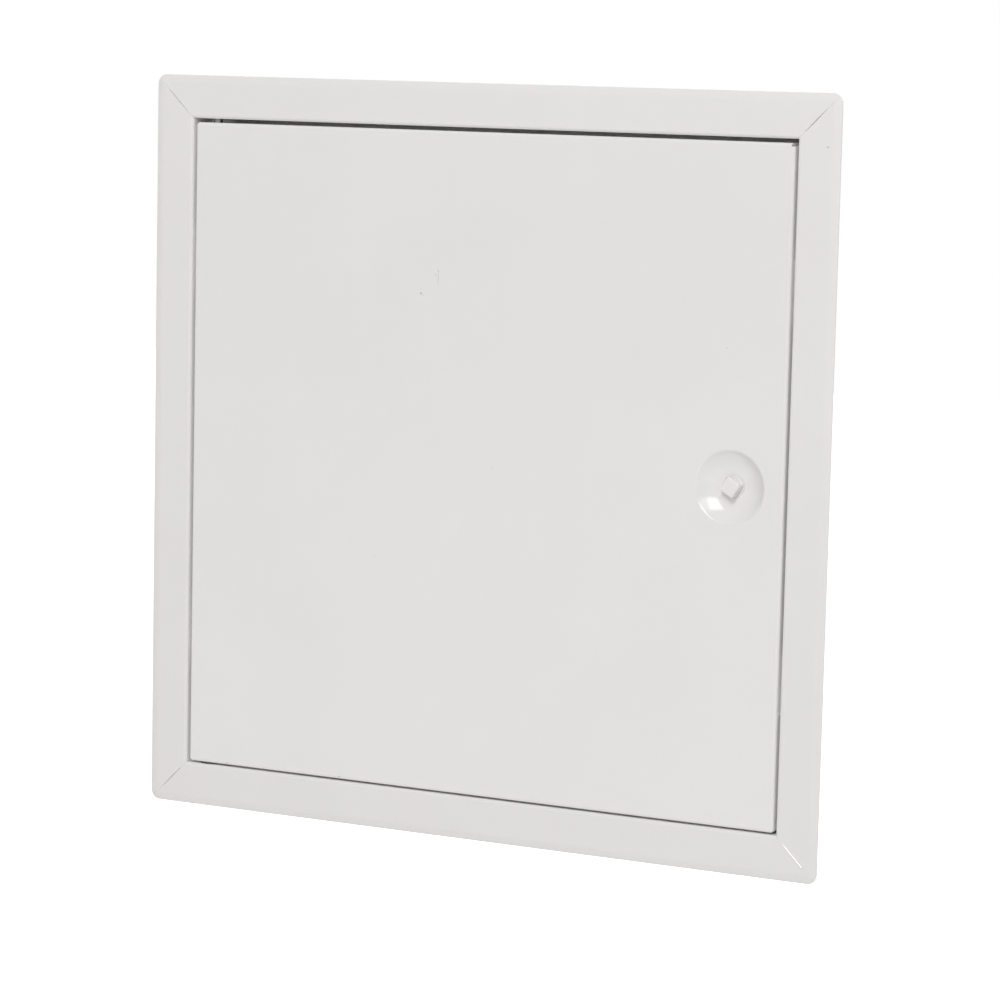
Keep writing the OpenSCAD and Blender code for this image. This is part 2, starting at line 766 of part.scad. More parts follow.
frame_rail_top();
frame_rail_bottom();
frame_rail_left();
frame_rail_right();
corner_plate_tl();
corner_plate_tr();
corner_plate_bl();
corner_plate_br();
corner_rivets();
hinge_pin_lower();
hinge_washer_lower();
door_leaf();
hinge_plate_lower();
hinge_bracket_upper();
bracket_rivets();
hinge_spring();
hinge_pin_upper();
pin_clip();
lock_bearing();
lock_spindle();
cone_washer();
lock_cam();
nut_washer();
cam_nut();
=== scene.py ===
from math import atan, cos, pi, radians, sin, sqrt

import bmesh
import bpy
from mathutils import Matrix, Vector


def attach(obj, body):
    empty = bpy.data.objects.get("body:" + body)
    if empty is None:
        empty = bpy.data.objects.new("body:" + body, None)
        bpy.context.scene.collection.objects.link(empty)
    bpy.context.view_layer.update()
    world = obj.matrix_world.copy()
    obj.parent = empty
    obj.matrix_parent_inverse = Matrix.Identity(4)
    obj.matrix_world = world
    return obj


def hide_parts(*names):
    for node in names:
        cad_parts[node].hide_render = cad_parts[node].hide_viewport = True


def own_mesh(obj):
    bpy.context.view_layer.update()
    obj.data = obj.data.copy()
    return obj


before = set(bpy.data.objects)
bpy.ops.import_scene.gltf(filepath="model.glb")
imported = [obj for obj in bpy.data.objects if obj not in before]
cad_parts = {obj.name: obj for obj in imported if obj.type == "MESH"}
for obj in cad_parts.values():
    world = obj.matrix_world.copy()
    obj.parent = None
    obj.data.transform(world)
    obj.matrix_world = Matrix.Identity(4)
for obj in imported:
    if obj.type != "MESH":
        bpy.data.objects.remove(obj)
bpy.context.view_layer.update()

scene = bpy.context.scene
scene.view_settings.view_transform = "Standard"

# Sizes of the panel in millimetres, as in the part's source. The face looks towards -Y.
SHEET = 1.0
FOLD_R = 1.5
INNER_R = 0.5
FACE_Y = -1.9

# Frame rails
HALF = 150.0
FLANGE_W = 19.6
EDGE_W = 4.6
EDGE_DROP = 0.9
EDGE_CURVE = 1.9
RIM_CENTRE = HALF + FLANGE_W - EDGE_W
RIM_ROUND = 0.3
STOP_W = 10.0
STOP_Y = 18.1
MITRE_SEAM = 0.03
SLIT_W = 0.25
SLIT_W_OPEN = 0.72
SLIT_FROM = 3.3
SLIT_TO = 12.5
LUG_Y = 8.6
LUG_PITCH = 180.0
LUG_L = 26.0
LUG_W = 11.0
LUG_SLIT = 1.2
LUG_HOLE_D = 4.5
LUG_HOLE_FROM_END = 7.0

# Rivets
RIVET_FIRST = 16.0
RIVET_PITCH = 17.0
RIVET_LINE = 5.0
RIVET_D = 3.2
RIVET_HEAD_D = 6.0
RIVET_HEAD_H = 1.0
RIVET_HEAD_EDGE = 0.2
RIVET_HOLE_D = 3.36
PLATE_T = 1.5
BRACKET_RIVET_Z = (119.2, 132.2)

# Door leaf with its dimple
LEAF_LEFT, LEAF_RIGHT = -148.3, 148.6
LEAF_TOP, LEAF_BOTTOM = 148.2, -149.0
LEAF_REAR_Y = 17.6
LEAF_HINGE_REAR_Y = 14.62
LOCK_X = 123.4
DIMPLE_R = 17.0
DIMPLE_RIM = 1.5
DIMPLE_DEPTH = 4.5
DIMPLE_LIP_R = 2.0
DIMPLE_FLOOR_R = 5.5
FLOOR_Y = FACE_Y + DIMPLE_DEPTH
BEARING_SPIGOT_R = 5.0

# Lock
DRIVE_AF = 7.0
DRIVE_R = 4.65
DRIVE_FRONT_Y = -2.2
DRIVE_ROUND = 0.6
DRIVE_TURN = 57.0
SEAT_PLAY = 0.02
JOURNAL_R = 3.0
JOURNAL_OVERLAP = 0.5
CAM_SEAT_R = 2.5
CAM_FRONT_Y = 19.5
CAM_REAR_Y = 21.5
THREAD_R = 2.0
THREAD_DEPTH = 0.25
THREAD_PITCH = 0.7
SPINDLE_END_Y = 27.2
SPINDLE_CHAMFER = 0.4
NUT_FRONT_Y = 22.5
NUT_H = 3.2
NUT_AF = 7.0
NUT_CHAMFER = 0.55
NUT_PLAY = 0.08

# Hinge
HINGE_X, HINGE_Y = -140.0, 4.1
PIN_HOLE_D = 4.16
SPRING_BOTTOM = 112.7
SPRING_L = 25.0
SPRING_R = 2.95
SPRING_WIRE = 0.7
SPRING_TURNS = 8

# Reach of the painted light on the folded sides in the gaps, from the middle of the panel, and height of the coat
# on the lock bearing
GAP_LIGHT_ZONE = (146.1, 150.5)
BEARING_COAT = 0.1

# Widths of the softened edges
RAIL_EDGE = 0.07
LEAF_EDGE = 0.12
SPINDLE_EDGE = 0.15
NUT_EDGE = 0.12

# How far a cutter stands out of what it cuts, and how near a place counts as being there
CLEAR = 1.0
NEAR = 0.002

# Steps along the curves
EDGE_STEPS = 10
RIM_CORNER_STEPS = 13
FOLD_STEPS = 8
SMALL_FOLD_STEPS = 6
LIP_STEPS = 10
BOWL_STEPS = 18
DIMPLE_SIDES = 96
DRIVE_SIDES = 96
DRIVE_STEPS = 5
NUT_SIDES = 72
RIVET_SIDES = 32
DOME_STEPS = 6
WIRE_SIDES = 14
COIL_STEPS = 36

# How near to a cutting plane, in metres, a vertex counts as lying on it
FINE = 0.0000001


# Modelling helpers: all of them take millimetres


def mm(*values):
    return Vector(values) * 0.001


def deselect():
    if bpy.context.object and bpy.context.object.mode != "OBJECT":
        bpy.ops.object.mode_set(mode="OBJECT")
    bpy.ops.object.select_all(action="DESELECT")


def only(piece):
    deselect()
    piece.select_set(True)
    bpy.context.view_layer.objects.active = piece


def fix_place():
    """Moves the place, turn and scale of the selected object into its mesh."""
    bpy.ops.object.transform_apply(location=True, rotation=True, scale=True)


def settle(name):
    """Names the object just added and moves its place into its mesh."""
    piece = bpy.context.object
    piece.name = name
    piece.data.name = name
    fix_place()
    return piece


def edit(piece):
    only(piece)
    bpy.ops.object.mode_set(mode="EDIT")


def leave_edit():
    bpy.ops.object.mode_set(mode="OBJECT")


def pick(piece, kind, test):
    """Selects the edges or faces whose corners all pass the test, given in millimetres."""
    bpy.ops.mesh.select_mode(type=kind)
    bpy.ops.mesh.select_all(action="DESELECT")
    mesh = bmesh.from_edit_mesh(piece.data)
    group = {"EDGE": mesh.edges, "FACE": mesh.faces}[kind]
    for element in group:
        if all(test(v.co.x * 1000, v.co.y * 1000, v.co.z * 1000) for v in element.verts):
            element.select_set(True)
    mesh.select_flush_mode()
    bmesh.update_edit_mesh(piece.data)


def near(a, b, tolerance=NEAR):
    return abs(a - b) < tolerance


def pull_edges(x, y, z):
    """Extrudes the selected edges by a distance."""
    bpy.ops.mesh.extrude_edges_move(TRANSFORM_OT_translate={"value": mm(x, y, z)})


def widen(grow, centre):
    """Scales the selection across the depth axis, about a centre."""
    bpy.ops.transform.resize(value=(grow, 1, grow), center_override=mm(*centre))


def push_face(far, grow, centre):
    """Extrudes the selected face along the depth axis and scales its new end about a centre."""
    bpy.ops.mesh.extrude_region_move(TRANSFORM_OT_translate={"value": mm(0, far, 0)})
    widen(grow, centre)


def spin(centre, axis, degrees, steps):
    """Spins the selected edges by the right-hand rule; the operator itself counts the other way."""
    bpy.ops.mesh.spin(steps=steps, angle=radians(-degrees), center=mm(*centre), axis=axis)


def slice_off(place, outward, fill):
    """Cuts the selection along a plane, given in metres, and drops what lies beyond it."""
    bpy.ops.mesh.bisect(plane_co=place, plane_no=outward, use_fill=fill, clear_outer=True, threshold=FINE)


def tidy_mesh(merge=0.0005):
    """Merges doubles and turns all faces outwards."""
    bpy.ops.mesh.select_all(action="SELECT")
    bpy.ops.mesh.remove_doubles(threshold=merge * 0.001)
    bpy.ops.mesh.normals_make_consistent(inside=False)


def face_front(piece):
    """Turns an open sheet so that its large faces look to the front."""
    mesh = bmesh.from_edit_mesh(piece.data)
    lean = sum(f.normal.y * f.calc_area() for f in mesh.faces)
    if lean > 0:
        bpy.ops.mesh.select_all(action="SELECT")
        bpy.ops.mesh.flip_normals()


def apply(piece, kind, **values):
    """Adds a modifier with these values and applies it."""
    only(piece)
    modifier = piece.modifiers.new(kind.lower(), kind)
    for key, value in values.items():
        setattr(modifier, key, value)
    bpy.ops.object.modifier_apply(modifier=modifier.name)


def thicken(piece, thickness):
    """Gives an open sheet its thickness, behind its face."""
    apply(
        piece, "SOLIDIFY", thickness=thickness * 0.001, offset=-1,
        use_even_offset=True, use_quality_normals=True,
    )


def soften(piece, width, angle=35):
    """Rounds the sharp edges a little, as coating and tumbling do."""
    apply(
        piece, "BEVEL", width=width * 0.001, segments=2, limit_method="ANGLE",
        angle_limit=radians(angle), use_clamp_overlap=True, miter_outer="MITER_ARC",
    )


def smooth(piece, angle=30):
    """Smooth shading that keeps the large flat faces flat."""
    only(piece)
    bpy.ops.object.shade_smooth_by_angle(angle=radians(angle))
    apply(piece, "WEIGHTED_NORMAL", mode="FACE_AREA", weight=90, keep_sharp=True)


def sheet(name, left, right, bottom, top):
    """A flat rectangle in the plane of the face."""
    deselect()
    bpy.ops.mesh.primitive_plane_add(
        size=1, location=mm((left + right) / 2, FACE_Y, (top + bottom) / 2), rotation=(pi / 2, 0, 0),
    )
    bpy.context.object.scale = mm(right - left, top - bottom, 1000)
    return settle(name)


def box(centre, size, turn=0):
    """A cutting block, turned about the panel's depth axis."""
    deselect()
    bpy.ops.mesh.primitive_cube_add(size=1, location=mm(*centre), rotation=(0, radians(turn), 0))
    bpy.context.object.scale = mm(*size)
    return settle("cutter")


def rod(start, end, radius, sides=48):
    """A round bar between two points along one axis."""
    deselect()
    a, b = Vector(start), Vector(end)
    turn = (b - a).to_track_quat("Z", "Y").to_euler()
    bpy.ops.mesh.primitive_cylinder_add(
        vertices=sides, radius=radius * 0.001, depth=(b - a).length * 0.001,
        location=mm(*((a + b) / 2)), rotation=turn,
    )
    return settle("cutter")


def join(pieces, name):
    deselect()
    for piece in pieces:
        piece.select_set(True)
    bpy.context.view_layer.objects.active = pieces[0]
    if len(pieces) > 1:
        bpy.ops.object.join()
    pieces[0].name = name
    pieces[0].data.name = name
    return pieces[0]


def discard(piece):
    mesh = piece.data
    bpy.data.objects.remove(piece)
    bpy.data.meshes.remove(mesh)


def combine(piece, tool, operation, crossing=False):
    """Boolean with another closed piece; crossing is for a tool whose own parts overlap."""
    apply(piece, "BOOLEAN", object=tool, operation=operation, solver="EXACT", use_self=crossing)
    discard(tool)


def cut(piece, cutters, crossing=False):
    combine(piece, join(cutters, "cutter"), "DIFFERENCE", crossing)


def copy_of(piece, name):
    only(piece)
    bpy.ops.object.duplicate(linked=False)
    twin = bpy.context.object
    twin.name = name
    twin.data.name = name
    return twin


def mount(piece, body, node, material):
    """Puts a finished piece on its body, in place of its solid."""
    piece.data.materials.clear()
    piece.data.materials.append(material)
    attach(piece, body)
    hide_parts(node)


# Finishes


def feed(tree, value, socket):
    """Links the output of another node to a socket, or sets the socket to a plain value."""
    if isinstance(value, bpy.types.NodeSocket):
        tree.links.new(value, socket)
    else:
        socket.default_value = value


def maths(tree, operation, *values):
    """One sum on numbers or on the outputs of other nodes."""
    node = tree.nodes.new("ShaderNodeMath")
    node.operation = operation
    for value, socket in zip(values, node.inputs):
        feed(tree, value, socket)
    return node.outputs[0]


def vector_maths(tree, operation, *values):
    """One sum on vectors."""
    node = tree.nodes.new("ShaderNodeVectorMath")
    node.operation = operation
    for value, socket in zip(values, node.inputs):
        feed(tree, value, socket)
    return node.outputs["Value" if operation == "LENGTH" else "Vector"]


def axes_of(tree, where):
    """The three coordinates of a place, each on its own."""
    node = tree.nodes.new("ShaderNodeSeparateXYZ")
    feed(tree, where, node.inputs[0])
    return node.outputs


def noise(tree, where, scale, detail, roughness=0.5):
    node = tree.nodes.new("ShaderNodeTexNoise")
    feed(tree, where, node.inputs["Vector"])
    feed(tree, scale, node.inputs["Scale"])
    feed(tree, detail, node.inputs["Detail"])
    feed(tree, roughness, node.inputs["Roughness"])
    return node.outputs["Fac"]


def ramp(tree, value, start, end, low=0, high=1, curve="LINEAR"):
    """Maps a value from one range to another."""
    node = tree.nodes.new("ShaderNodeMapRange")
    node.interpolation_type = curve
    feed(tree, value, node.inputs["Value"])
    feed(tree, start, node.inputs["From Min"])
    feed(tree, end, node.inputs["From Max"])
    feed(tree, low, node.inputs["To Min"])
    feed(tree, high, node.inputs["To Max"])
    return node.outputs["Result"]


def spread(tree, value, low, high):
    """Maps the usual values of a noise to a range."""
    least, most = 0.3, 0.7
    return ramp(tree, value, least, most, low, high)


def mix_colour(tree, factor, a, b):
    """Mixes two colours; the node's sockets 6 and 7 and its output 2 are those for colours."""
    node = tree.nodes.new("ShaderNodeMix")
    node.data_type = "RGBA"
    feed(tree, factor, node.inputs["Factor"])
    feed(tree, a, node.inputs[6])
    feed(tree, b, node.inputs[7])
    return node.outputs[2]


def bump(tree, shader, height, strength, distance):
    node = tree.nodes.new("ShaderNodeBump")
    node.inputs["Strength"].default_value = strength
    node.inputs["Distance"].default_value = distance
    feed(tree, height, node.inputs["Height"])
    feed(tree, node.outputs["Normal"], shader.inputs["Normal"])


def new_group(name, vectors, numbers, results):
    """An empty node group with named sockets, the outputs of its start and the inputs of its end."""
    group = bpy.data.node_groups.new(name, "ShaderNodeTree")
    for kind, way, names in (
        ("NodeSocketVector", "INPUT", vectors),
        ("NodeSocketFloat", "INPUT", numbers),
        ("NodeSocketFloat", "OUTPUT", results),
    ):
        for socket in names:
            group.interface.new_socket(name=socket, in_out=way, socket_type=kind)
    return group, group.nodes.new("NodeGroupInput").outputs, group.nodes.new("NodeGroupOutput").inputs


def use_group(tree, group, **values):
    """Places a node group in a material, with its own values."""
    node = tree.nodes.new("ShaderNodeGroup")
    node.node_tree = group
    for name, value in values.items():
        feed(tree, value, node.inputs[name])
    return node.outputs


def grain_group():
    """Fine surface grain: a height for bump and a slow tone from one place to the next."""
    group, start, end = new_group("surface_grain", ["Vector"], ["Fine", "Broad"], ["Height", "Tone"])
    feed(group, noise(group, start["Vector"], start["Fine"], 2), end["Height"])
    feed(group, noise(group, start["Vector"], start["Broad"], 3, 0.55), end["Tone"])
    return group


def mark_group():
    """One small mark, used for scuffs and for lines of painted shade: a ragged oval around a place, stretched
    along a direction, more or less strong.
    """
    group, start, end = new_group("scuff_and_shade_mark", ["Vector", "Place", "Turn", "Stretch"], ["Amount"], ["Mask"])
    shift = vector_maths(group, "SUBTRACT", start["Vector"], start["Place"])
    turn = group.nodes.new("ShaderNodeVectorRotate")
    turn.rotation_type = "EULER_XYZ"
    feed(group, shift, turn.inputs["Vector"])
    feed(group, start["Turn"], turn.inputs["Rotation"])
    oval = vector_maths(group, "DIVIDE", turn.outputs[0], start["Stretch"])
    away = vector_maths(group, "LENGTH", oval)
    ragged = maths(group, "ADD", away, noise(group, start["Vector"], 1500, 3))
    full, none = 0.75, 1.35
    feed(group, ramp(group, ragged, full, none, start["Amount"], 0, "SMOOTHSTEP"), end["Mask"])
    return group


def gap_light_group():
    """Mask of the painted light in the gaps: the folded sides of frame and leaf, behind the face, along the edge
    of the opening.
    """
    group, start, end = new_group("painted_gap_light", ["Vector"], [], ["Mask"])
    axes = axes_of(group, start["Vector"])
    across = maths(group, "ABSOLUTE", axes["X"])
    up = maths(group, "ABSOLUTE", axes["Z"])
    reach = maths(group, "MAXIMUM", across, up)
    inner, outer = GAP_LIGHT_ZONE
    mask = maths(group, "COMPARE", reach, (inner + outer) * 0.0005, (outer - inner) * 0.0005)
    for none, full in ((FACE_Y, FACE_Y + FOLD_R), (STOP_Y - INNER_R, STOP_Y - FOLD_R - INNER_R)):
        depth = ramp(group, axes["Y"], none * 0.001, full * 0.001, curve="SMOOTHSTEP")
        mask = maths(group, "MULTIPLY", mask, depth)
    feed(group, mask, end["Mask"])
    return group


GRAIN = grain_group()
MARK = mark_group()
GAP_LIGHT = gap_light_group()


def finish(name, metallic, grain, tones, roughness, relief, shine=0.5, paint=None):
    """A grained material whose colour and roughness drift slowly between two values.

    The grain is a fine and a broad scale, the relief a strength and a depth. A function may paint over the colour.
    """
    material = bpy.data.materials.new(name)
    material.use_nodes = True
    tree = material.node_tree
    shader = tree.nodes["Principled BSDF"]
    shader.inputs["Metallic"].default_value = metallic
    shader.inputs["Specular IOR Level"].default_value = shine
    where = tree.nodes.new("ShaderNodeTexCoord").outputs["Object"]
    fine, broad = grain
    surface = use_group(tree, GRAIN, Vector=where, Fine=fine, Broad=broad)
    colour = mix_colour(tree, spread(tree, surface["Tone"], 0, 1), *tones)
    if paint:
        colour = paint(tree, shader, where, colour)
    feed(tree, colour, shader.inputs["Base Color"])
    feed(tree, spread(tree, surface["Tone"], *roughness), shader.inputs["Roughness"])
    bump(tree, shader, surface["Height"], *relief)
    return material


def white_coat(name, shine, roughness, scuffs_and_shade):
    """White powder coat with a fine orange peel and a few small scuffs. On the frame it has painted shade along
    the mitre slits, and on both it has painted light that makes the folded sides in the gaps whiter.
    """

    def gap_light_scuffs_and_shade(tree, shader, where, colour):
        # Painted light: the folded sides in the gaps are painted whiter than their shade
        lit_gap = use_group(tree, GAP_LIGHT, Vector=where)
        colour = mix_colour(tree, lit_gap["Mask"], colour, GAP_LIGHT_WHITE)
        # Scuffs, and on the frame painted shade along the mitre slits
        mask = 0
        for (x, z), turn, long, wide, amount in scuffs_and_shade:
            mark = use_group(
                tree, MARK, Vector=where, Place=mm(x, FACE_Y, z), Turn=(0, radians(turn), 0),
                Stretch=mm(long, 1, wide), Amount=amount,
            )
            mask = maths(tree, "MAXIMUM", mask, mark["Mask"])
        return mix_colour(tree, mask, colour, SCUFF_AND_SHADE_GREY)

    return finish(name, 0, (1100, 14), COAT_WHITE, roughness, (0.12, 0.00002), shine, gap_light_scuffs_and_shade)


def zinc(name, tones, paint=None):
    """Zinc plating, slightly clouded and a little blue and yellow."""
    return finish(name, 1, (1800, 120), tones, (0.32, 0.46), (0.2, 0.00001), paint=paint)


def coated_front(tree, shader, where, colour):
    """The front of the lock bearing took the white coat along with the leaf."""
    bare = maths(tree, "GREATER_THAN", axes_of(tree, where)["Y"], (FLOOR_Y + BEARING_COAT) * 0.001)
    feed(tree, bare, shader.inputs["Metallic"])
    return mix_colour(tree, bare, BEARING_WHITE, colour)


# Scuffs, and on the frame lines of painted shade along the mitre slits: place, turn about the depth axis in
# degrees, half length, half width and strength
LEAF_SCUFFS = (
    ((-29.5, 75.8), 0, 0.75, 0.7, 0.8),
    ((-29.5, 78.0), 0, 0.6, 0.5, 0.25),
    ((-28.4, 75.1), 40, 0.6, 0.5, 0.25),
    ((-22.3, 84.3), 0, 0.6, 0.6, 0.45),
    ((-21.0, 86.1), 0, 0.6, 0.6, 0.45),
    ((-20.9, 83.3), 90, 5.6, 0.5, 0.2),
    ((-127.5, -148.0), 10, 1.2, 0.7, 0.5),
    ((-67.4, -147.8), 10, 1.1, 0.6, 0.45),
    ((8.1, 0.1), 75, 0.6, 0.5, 0.25),
    ((120.2, 59.9), 20, 0.6, 0.5, 0.25),
    ((-51.1, -44.3), 50, 0.6, 0.5, 0.25),
)
FRAME_SCUFFS_AND_SHADE = (
    ((163.7, 147.0), 30, 0.9, 0.6, 0.5),
    # Painted shade: the next three are grey lines along the closed mitre slits, darkening them as their shadow
    # would
    ((-158.2, 158.2), -45, 9.0, 0.7, 0.16),
    ((157.6, 157.6), 45, 8.0, 0.7, 0.24),
    ((-158.2, -158.2), 45, 8.0, 0.7, 0.17),
)

# Colours, those that drift as pairs
COAT_WHITE = ((0.766, 0.748, 0.732, 1), (0.781, 0.764, 0.75, 1))
# Painted light: the whiter colour given to the folded sides in the gaps
GAP_LIGHT_WHITE = (0.89, 0.88, 0.865, 1)
BEARING_WHITE = (0.77, 0.767, 0.755, 1)
# Grey of the scuffs and of the painted shade along the frame's mitres
SCUFF_AND_SHADE_GREY = (0.25, 0.24, 0.22, 1)
BRIGHT_ZINC = ((0.43, 0.44, 0.465, 1), (0.53, 0.52, 0.49, 1))
DULL_ZINC = ((0.2, 0.2, 0.21, 1), (0.27, 0.265, 0.255, 1))
DARK_STEEL = ((0.17, 0.165, 0.16, 1), (0.28, 0.27, 0.26, 1))
BLACK = ((0.045, 0.045, 0.047, 1), (0.06, 0.06, 0.062, 1))

COAT = white_coat("white_powder_coat", 0.65, (0.07, 0.11), LEAF_SCUFFS)
FRAME_COAT = white_coat("white_powder_coat_of_frame", 0.3, (0.45, 0.52), FRAME_SCUFFS_AND_SHADE)
ZINC = zinc("zinc_plating", BRIGHT_ZINC)
BEARING_ZINC = zinc("zinc_plating_with_coated_front", BRIGHT_ZINC, coated_front)
PIN_ZINC = zinc("dull_zinc_of_pins", DULL_ZINC)
SPRING_STEEL = finish("dark_spring_steel", 1, (2500, 300), DARK_STEEL, (0.24, 0.38), (0.15, 0.00001))
NYLON = finish("black_nylon", 0, (3000, 500), BLACK, (0.42, 0.55), (0.1, 0.00001))


# Frame rails


def bent_strip():
    """The top rail as one folded strip, longer than needed, before its mitres are cut."""
    low, high = HALF + FOLD_R, RIM_CENTRE
    rail = sheet("frame_rail", -RIM_CENTRE, RIM_CENTRE, low, high)
    edit(rail)
    pick(rail, "EDGE", lambda x, y, z: near(z, high))
    shares = [i / EDGE_STEPS for i in range(EDGE_STEPS + 1)]
    path = [(EDGE_W * share, EDGE_DROP * share ** EDGE_CURVE) for share in shares]
    for a, b in zip(path, path[1:]):
        pull_edges(0, b[1] - a[1], b[0] - a[0])
    for side in (-1, 1):
        pick(rail, "EDGE", lambda x, y, z: near(x, side * RIM_CENTRE) and z > high - NEAR)
        spin((side * RIM_CENTRE, 0, high), (0, 1, 0), side * 90, RIM_CORNER_STEPS)
    pick(rail, "EDGE", lambda x, y, z: near(z, low) and near(y, FACE_Y))
    spin((0, FACE_Y + FOLD_R, low), (1, 0, 0), 90, FOLD_STEPS)
    pick(rail, "EDGE", lambda x, y, z: near(z, HALF))
    pull_edges(0, STOP_Y - INNER_R - FACE_Y - FOLD_R, 0)
    pick(rail, "EDGE", lambda x, y, z: near(z, HALF) and near(y, STOP_Y - INNER_R))
    spin((0, STOP_Y - INNER_R, HALF - INNER_R), (1, 0, 0), -90, SMALL_FOLD_STEPS)
    pick(rail, "EDGE", lambda x, y, z: near(y, STOP_Y))
    pull_edges(0, 0, INNER_R - STOP_W)
    tidy_mesh()
    face_front(rail)
    leave_edit()
    return rail


def rim_edges(x, y, z):
    """Along the front of the flange's outer rim, on the straight and round its corners."""
    out = sqrt(max(abs(x) - RIM_CENTRE, 0) ** 2 + max(z - RIM_CENTRE, 0) ** 2)
    rim, front = EDGE_W - 0.02, FACE_Y + EDGE_DROP + 0.2
    return z > RIM_CENTRE - EDGE_W and out > rim and y < front


def lug_cutters(side):
    """The slit round three sides of a bend-out lug and its screw hole, through the collar wall."""
    tip = LUG_PITCH / 2 + LUG_HOLE_FROM_END
    deep = SHEET + 2 * CLEAR
    z = HALF + SHEET / 2
    parts = []
    for way in (-1, 1):
        parts.append(box(
            (side * (tip - LUG_L / 2 + LUG_SLIT / 2), LUG_Y + way * (LUG_W + LUG_SLIT) / 2, z),
            (LUG_L + LUG_SLIT, LUG_SLIT, deep),
        ))
    parts.append(box((side * (tip + LUG_SLIT / 2), LUG_Y, z), (LUG_SLIT, LUG_W + LUG_SLIT, deep)))
    hole = side * LUG_PITCH / 2
    parts.append(rod((hole, LUG_Y, z - deep / 2), (hole, LUG_Y, z + deep / 2), LUG_HOLE_D / 2))
    return parts


def rail_cutters(name, slits):
    """Mitre slits, rivet holes, lugs and pin hole of a rail, while it still lies on top."""
    middle = HALF + (SLIT_FROM + SLIT_TO) / 2
    line = HALF - RIVET_LINE
    cutters = []
    for side, width in zip((-1, 1), slits):
        size = ((SLIT_TO - SLIT_FROM) * sqrt(2), 2 * (SHEET + CLEAR), width)
        cutters.append(box((side * middle, FACE_Y, middle), size, -45 * side))
        for i in (0, 1):
            along = side * (HALF - RIVET_FIRST - i * RIVET_PITCH)
            front, rear = STOP_Y - CLEAR, STOP_Y + SHEET + CLEAR
            cutters.append(rod((along, front, line), (along, rear, line), RIVET_HOLE_D / 2))
        if name in ("left", "right"):
            cutters += lug_cutters(side)
    if name in ("top", "bottom"):
        x = HINGE_X if name == "top" else -HINGE_X
        low, high = HALF - CLEAR, HALF + SHEET + CLEAR
        cutters.append(rod((x, HINGE_Y, low), (x, HINGE_Y, high), PIN_HOLE_D / 2))
    return cutters


def frame_rails():
    rail = bent_strip()
    thicken(rail, SHEET)
    edit(rail)
    pick(rail, "EDGE", rim_edges)
    bpy.ops.mesh.bevel(offset=RIM_ROUND * 0.001, segments=3, affect="EDGES")
    for side in (-1, 1):
        bpy.ops.mesh.select_all(action="SELECT")
        slice_off(mm(side * (HALF - MITRE_SEAM), 0, HALF), (side, 0, -1), True)
    tidy_mesh(0.0002)
    leave_edit()
    # Sides in turn about the depth axis, with the width of the slit at each end
    sides = (
        ("top", 0, (SLIT_W, SLIT_W)),
        ("right", 90, (SLIT_W, SLIT_W_OPEN)),
        ("bottom", 180, (SLIT_W_OPEN, SLIT_W)),
        ("left", 270, (SLIT_W, SLIT_W)),
    )
    for name, turn, slits in sides:
        piece = copy_of(rail, "frame_rail_" + name + "_coated")
        cut(piece, rail_cutters(name, slits), crossing=True)
        soften(piece, RAIL_EDGE)
        only(piece)
        piece.rotation_euler = (0, radians(turn), 0)
        fix_place()
        smooth(piece)
        mount(piece, "frame", "frame_rail_" + name, FRAME_COAT)
    discard(rail)


frame_rails()


# Door leaf


def dimple_rings():
    """Radius and depth of the rings of the pressed dimple, from its lip to its floor."""
    run = DIMPLE_R - DIMPLE_FLOOR_R
    slope = 2 * atan(DIMPLE_DEPTH / run)
    bowl_r = run / sin(slope) - DIMPLE_LIP_R
    rings = [(DIMPLE_R, 0)]
    for i in range(1, LIP_STEPS + 1):
        a = slope * i / LIP_STEPS
        rings.append((DIMPLE_R - DIMPLE_LIP_R * sin(a), DIMPLE_LIP_R * (1 - cos(a))))
    for i in range(1, BOWL_STEPS + 1):
        a = slope * (1 - i / BOWL_STEPS)
        rings.append((DIMPLE_FLOOR_R + bowl_r * sin(a), DIMPLE_DEPTH - bowl_r * (1 - cos(a))))
    rings.append((BEARING_SPIGOT_R, DIMPLE_DEPTH))
    return rings


def press_dimple(leaf):
    """Cuts a round hole in the flat sheet and draws its edge down in rings."""
    radius, depth = DIMPLE_R + DIMPLE_RIM, 0
    bpy.ops.mesh.select_all(action="SELECT")
    bpy.ops.mesh.delete(type="ONLY_FACE")
    bpy.ops.mesh.primitive_circle_add(
        vertices=DIMPLE_SIDES, radius=radius * 0.001, location=mm(LOCK_X, FACE_Y, 0), rotation=(pi / 2, 0, 0),
    )
    bpy.ops.mesh.select_mode(type="EDGE")
    bpy.ops.mesh.select_all(action="SELECT")
    bpy.ops.mesh.fill(use_beauty=True)
    pick(leaf, "EDGE", lambda x, y, z: near(sqrt((x - LOCK_X) ** 2 + z ** 2), radius, 0.01) and near(y, FACE_Y))
    for next_radius, next_depth in dimple_rings():
        pull_edges(0, next_depth - depth, 0)
        widen(next_radius / radius, (LOCK_X, FACE_Y, 0))
        radius, depth = next_radius, next_depth


